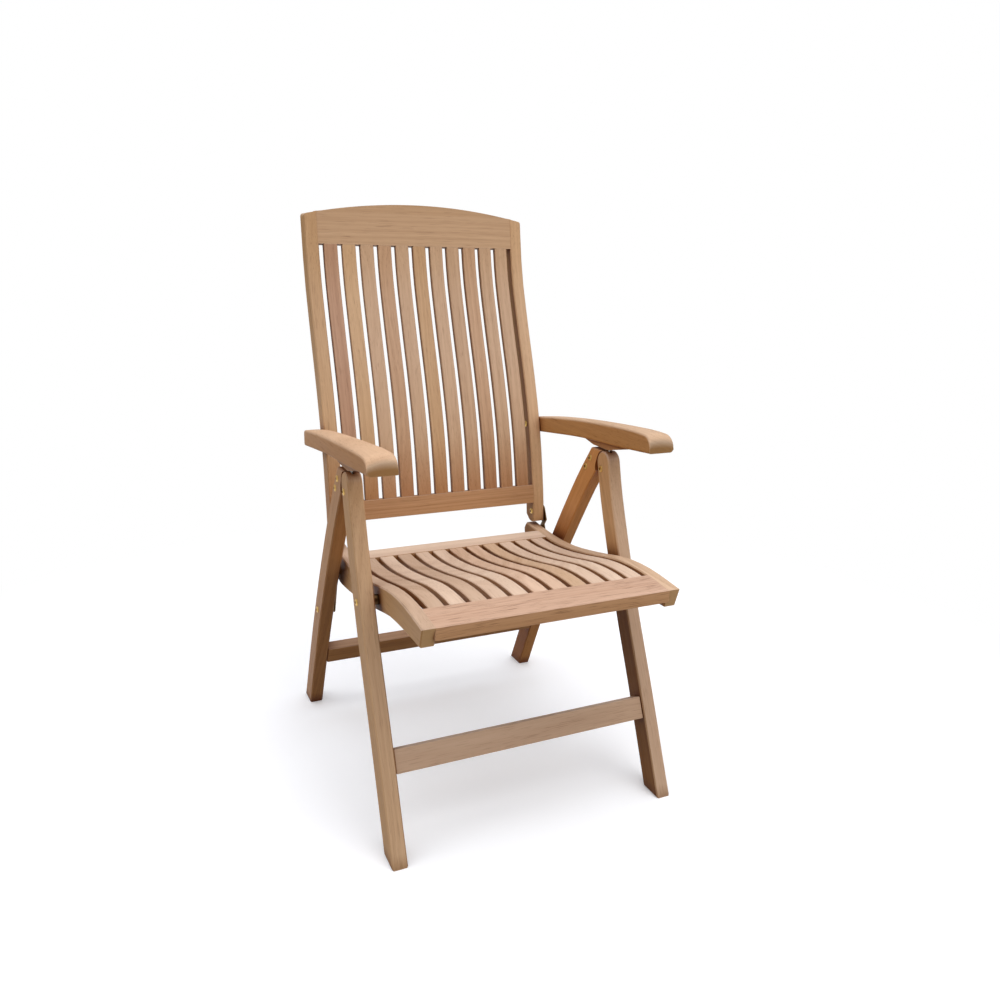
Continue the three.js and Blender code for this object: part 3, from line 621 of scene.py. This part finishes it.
# arm boards: crowned on top, the outer side leaning in under a bowed upper edge; curves are (y, z)
armBoard = {
    "top": [(0.2426, 0.6330), (0.1416, 0.6510), (0.0216, 0.6670), (-0.0984, 0.6790), (-0.1934, 0.6865)],
    "bottom": [
        (0.2426, 0.6010), (0.1416, 0.6142), (0.0216, 0.6286),
        (-0.0984, 0.6376), (-0.1784, 0.6448), (-0.2504, 0.6525),
    ],
    "noseRadius": 0.024,
    "noseSteps": 8,
    "bodySteps": 22,
    "noseInner": 0.234,
    "tailInner": 0.2454,
    "innerStraightY": 0.0316,
    "noseOuter": 0.287,
    "tailOuter": 0.277,
    "sideLean": 0.0055,
    "outerDrop": {"left": 0.0095, "right": 0.0055},
    "innerDrop": 0.003,
    "crest": -0.2,
    "acrossSteps": 10,
    "crownPower": 2,
    "edgeRound": 0.0045,
    "edgeSteps": 4,
    "roundShare": 0.42,
    "tailRadius": 0.006,
    "tailTurn": 1.4,
    "tailSteps": 4,
    "boltPlace": (0.0, 0.21364, 0.624),
    "boltHole": 0.00505,
    "boltEnd": 0.26687,
    "holeSides": 24,
}


def splineValue(before, start, end, after, share):
    first = (end - before) / 2
    last = (after - start) / 2
    cubic = (2 * start - 2 * end + first + last) * share ** 3
    square = (-3 * start + 3 * end - 2 * first - last) * share ** 2
    return cubic + square + first * share + start


def splineHeight(points, y):
    # the curve's height at y, found by halving, since the curve's y falls from point to point
    low = 0.0
    high = len(points) - 1.0
    place = (0.0, 0.0)
    halvings = 40
    for _ in range(halvings):
        middle = (low + high) / 2
        index = min(int(middle), len(points) - 2)
        near = [points[min(max(index + step, 0), len(points) - 1)] for step in (-1, 0, 1, 2)]
        place = [splineValue(*(point[axis] for point in near), middle - index) for axis in (0, 1)]
        if place[0] > y:
            low = middle
        else:
            high = middle
    return place[1]


def armEnds():
    nose = armBoard["bottom"][-1][0]
    tail = armBoard["top"][0][0]
    return nose, tail


def armTop(y):
    # the top curve ends where the nose starts to turn down
    return splineHeight(armBoard["top"], max(y, armBoard["top"][-1][0]))


def armStations():
    # each station is y, the height of the crown and how far the tail's rounding draws the section in
    nose, tail = armEnds()
    stations = []
    radius = armBoard["noseRadius"]
    for step in range(armBoard["noseSteps"] + 1):
        angle = math.pi / 2 * step / armBoard["noseSteps"]
        y = nose + radius * (1 - math.cos(angle))
        stations.append((y, armTop(y) - radius * (1 - math.sin(angle)), 0.0))
    tailRadius = armBoard["tailRadius"]
    bodyEnd = tail - tailRadius
    for step in range(1, armBoard["bodySteps"] + 1):
        y = nose + radius + (bodyEnd - nose - radius) * step / armBoard["bodySteps"]
        stations.append((y, armTop(y), 0.0))
    for step in range(1, armBoard["tailSteps"] + 1):
        angle = armBoard["tailTurn"] * step / armBoard["tailSteps"]
        y = bodyEnd + tailRadius * math.sin(angle)
        drawn = tailRadius * (1 - math.cos(angle))
        stations.append((y, armTop(y) - drawn, drawn))
    return stations


def armCrown(inner, outer, topZ, depth, outerDrop):
    # points across the top, which falls away on both sides of its crest
    crest = armBoard["crest"]
    crown = []
    for step in range(armBoard["acrossSteps"] + 1):
        side = 2 * step / armBoard["acrossSteps"] - 1
        outward = side > crest
        share = (side - crest) / (1 - crest if outward else 1 + crest)
        drop = (outerDrop if outward else armBoard["innerDrop"]) * share ** armBoard["crownPower"]
        crown.append(Vector((inner + (outer - inner) * (side + 1) / 2, topZ - drop * depth)))
    return crown


def roundedCorner(before, corner, after, radius):
    start = corner + (before - corner).normalized() * radius
    end = corner + (after - corner).normalized() * radius
    points = []
    for step in range(armBoard["edgeSteps"] + 1):
        share = step / armBoard["edgeSteps"]
        points.append(start * (1 - share) ** 2 + corner * 2 * share * (1 - share) + end * share ** 2)
    return points


def armRing(y, topZ, drawn, outerDrop):
    nose, tail = armEnds()
    inward = min(1.0, (y - nose) / (armBoard["innerStraightY"] - nose))
    narrowing = (y - nose) / (tail - nose)
    innerTaper = armBoard["tailInner"] - armBoard["noseInner"]
    outerTaper = armBoard["tailOuter"] - armBoard["noseOuter"]
    inner = armBoard["noseInner"] + innerTaper * inward * (2 - inward) + drawn / 2
    outer = armBoard["noseOuter"] + outerTaper * narrowing ** 2 - drawn / 2
    bottomZ = splineHeight(armBoard["bottom"], y) + drawn
    tall = topZ - bottomZ
    depth = tall / (tall + outerDrop) * (1 - narrowing ** 3)
    crown = armCrown(inner, outer, topZ, depth, outerDrop)
    innerLow = Vector((inner, bottomZ))
    outerLow = Vector((outer - armBoard["sideLean"] * (1 - narrowing), bottomZ))
    radius = min(armBoard["edgeRound"], armBoard["roundShare"] * (crown[-1].y - bottomZ))
    ring = roundedCorner(outerLow, innerLow, crown[0], radius)
    ring += roundedCorner(innerLow, crown[0], crown[1], radius)
    ring += crown[2:-2]
    ring += roundedCorner(crown[-2], crown[-1], outerLow, radius)
    ring += roundedCorner(crown[-1], outerLow, innerLow, radius)
    return [(point.x, y, point.y) for point in ring]


def loftFaces(ringCount, count):
    faces = []
    for row in range(ringCount - 1):
        for column in range(count):
            corner = row * count + column
            beside = row * count + (column + 1) % count
            faces.append((corner, beside, beside + count, corner + count))
    lastRow = (ringCount - 1) * count
    faces.append(tuple(range(count))[::-1])
    faces.append(tuple(range(lastRow, lastRow + count)))
    return faces


def drillBoltHole(piece, sign):
    place = armBoard["boltPlace"]
    end = armBoard["boltEnd"]
    start = armBoard["noseInner"]
    bpy.ops.mesh.primitive_cylinder_add(
        vertices=armBoard["holeSides"], radius=armBoard["boltHole"], depth=end - start,
        location=(sign * (start + end) / 2, place[1], place[2]), rotation=(0.0, math.pi / 2, 0.0),
    )
    drill = bpy.context.active_object
    hole = piece.modifiers.new("boltHole", "BOOLEAN")
    hole.operation = "DIFFERENCE"
    hole.object = drill
    hole.solver = "EXACT"
    shaped = piece.evaluated_get(bpy.context.evaluated_depsgraph_get())
    mesh = bpy.data.meshes.new_from_object(shaped)
    piece.modifiers.remove(hole)
    piece.data = mesh
    bpy.data.objects.remove(drill)


def buildArmBoard(side):
    sign = 1 if side == "right" else -1
    outerDrop = armBoard["outerDrop"][side]
    rings = [armRing(y, topZ, drawn, outerDrop) for y, topZ, drawn in armStations()]
    points = [(sign * x, y, z) for ring in rings for x, y, z in ring]
    faces = loftFaces(len(rings), len(rings[0]))
    if sign > 0:
        faces = [face[::-1] for face in faces]
    mesh = bpy.data.meshes.new("armBoard_" + side)
    mesh.from_pydata(points, [], faces)
    piece = addPiece("armBoard_" + side, mesh, "arms", "arm_" + side)
    drillBoltHole(piece, sign)
    sealFaces(piece, easedEdges["armBoard"])


for armSide in ("left", "right"):
    buildArmBoard(armSide)
print("arm boards shaped")

# pale studio: white floor with the chair's own soft shadow, under a bright sky with a warm horizon
white = (1.0, 1.0, 1.0, 1.0)
studio = {
    "floorSide": 40.0,
    "floorColour": (0.90, 0.895, 0.885, 1.0),
    "floorRoughness": 0.9,
    "floorSpecular": 0.1,
    "floorBounce": (0.11, 0.075, 0.045, 1.0),
    "floorGlow": 0.16,
    "clearFrom": 0.95,
    "clearTo": 1.6,
    "zenith": (1.19, 1.27, 1.42, 1.0),
    "horizon": (0.27, 0.18, 0.09, 1.0),
    "lamps": {
        "overhead": {"place": (0.5, -0.9, 3.2), "aim": (0.0, 0.0, 0.5), "size": 2.2, "watts": 30.0},
        "front": {"place": (1.0, -3.4, 1.8), "aim": (0.0, 0.0, 0.6), "size": 2.4, "watts": 22.0},
        "left": {"place": (-2.8, 0.1, 2.6), "aim": (0.0, 0.0, 0.6), "size": 1.6, "watts": 15.0},
    },
}


def makeFloorMaterial():
    material = bpy.data.materials.new("paleFloor")
    material.use_nodes = True
    tree = material.node_tree
    near = tree.nodes["Principled BSDF"]
    near.inputs["Base Color"].default_value = studio["floorColour"]
    near.inputs["Roughness"].default_value = studio["floorRoughness"]
    near.inputs["Specular IOR Level"].default_value = studio["floorSpecular"]
    near.inputs["Emission Color"].default_value = white
    near.inputs["Emission Strength"].default_value = studio["floorGlow"]
    # away from the chair the floor clears to the same white as the surround
    place = addNode(tree, "ShaderNodeTexCoord").outputs["Object"]
    distance = vectorNode(tree, "LENGTH", place)["Value"]
    clear = ramp(tree, distance, studio["clearFrom"], studio["clearTo"], kind="SMOOTHSTEP")
    far = addNode(tree, "ShaderNodeEmission", {"Color": white, "Strength": 1.0}).outputs[0]
    seen = addNode(tree, "ShaderNodeMixShader", {0: clear, 1: near.outputs[0], 2: far}).outputs[0]
    bounce = addNode(tree, "ShaderNodeBsdfDiffuse", {"Color": studio["floorBounce"]}).outputs[0]
    rays = addNode(tree, "ShaderNodeLightPath").outputs
    direct = mathNode(tree, "MAXIMUM", rays["Is Camera Ray"], rays["Is Glossy Ray"])
    floorShader = addNode(tree, "ShaderNodeMixShader", {0: direct, 1: bounce, 2: seen}).outputs[0]
    tree.links.new(floorShader, tree.nodes["Material Output"].inputs["Surface"])
    return material


def buildFloor():
    half = studio["floorSide"] / 2
    corners = [(-half, -half, 0), (half, -half, 0), (half, half, 0), (-half, half, 0)]
    mesh = bpy.data.meshes.new("studioFloor")
    mesh.from_pydata(corners, [], [(0, 1, 2, 3)])
    mesh.materials.append(makeFloorMaterial())
    floor = bpy.data.objects.new("studioFloor", mesh)
    bpy.context.scene.collection.objects.link(floor)


def buildSurround():
    world = bpy.data.worlds.new("studioSurround")
    bpy.context.scene.world = world
    world.use_nodes = True
    tree = world.node_tree
    background = tree.nodes["Background"].inputs
    height = axisValue(tree, addNode(tree, "ShaderNodeTexCoord").outputs["Generated"], "Z")
    above = mathNode(tree, "MAXIMUM", height, 0.0)
    sky = mixColour(tree, above, studio["horizon"], studio["zenith"])
    seen = addNode(tree, "ShaderNodeLightPath").outputs["Is Camera Ray"]
    tree.links.new(mixColour(tree, seen, sky, white), background["Color"])
    background["Strength"].default_value = 1.0


def buildLamps():
    for name, setting in studio["lamps"].items():
        lamp = bpy.data.lights.new(name, "AREA")
        lamp.energy = setting["watts"]
        lamp.size = setting["size"]
        holder = bpy.data.objects.new(name, lamp)
        place = Vector(setting["place"])
        aim = Vector(setting["aim"]) - place
        holder.location = place
        holder.rotation_euler = aim.to_track_quat("-Z", "Y").to_euler()
        bpy.context.scene.collection.objects.link(holder)


# camera solved from the photograph: its place in metres, its axes, lens in millimetres and shift
cameraSettings = {
    "place": (-0.6456, -1.51256, 0.9902),
    "right": (0.9098, -0.4142, 0.0249),
    "forward": (0.4066, 0.8778, -0.2534),
    "lens": 31.246,
    "sensorWidth": 36.0,
    "clipStart": 0.05,
    "shift": (0.0012, -0.01747),
}


def buildCamera():
    camera = bpy.data.cameras.new("photoCamera")
    camera.lens = cameraSettings["lens"]
    camera.sensor_width = cameraSettings["sensorWidth"]
    camera.sensor_fit = "HORIZONTAL"
    camera.shift_x, camera.shift_y = cameraSettings["shift"]
    camera.clip_start = cameraSettings["clipStart"]
    holder = bpy.data.objects.new("photoCamera", camera)
    right = Vector(cameraSettings["right"]).normalized()
    forward = Vector(cameraSettings["forward"]).normalized()
    up = right.cross(forward)
    axes = Matrix((right, up, -forward)).transposed().to_4x4()
    holder.matrix_world = Matrix.Translation(cameraSettings["place"]) @ axes
    bpy.context.scene.collection.objects.link(holder)
    bpy.context.scene.camera = holder


buildFloor()
buildSurround()
buildLamps()
buildCamera()
bpy.context.scene.view_settings.view_transform = "Standard"
print("studio, lights and camera ready")
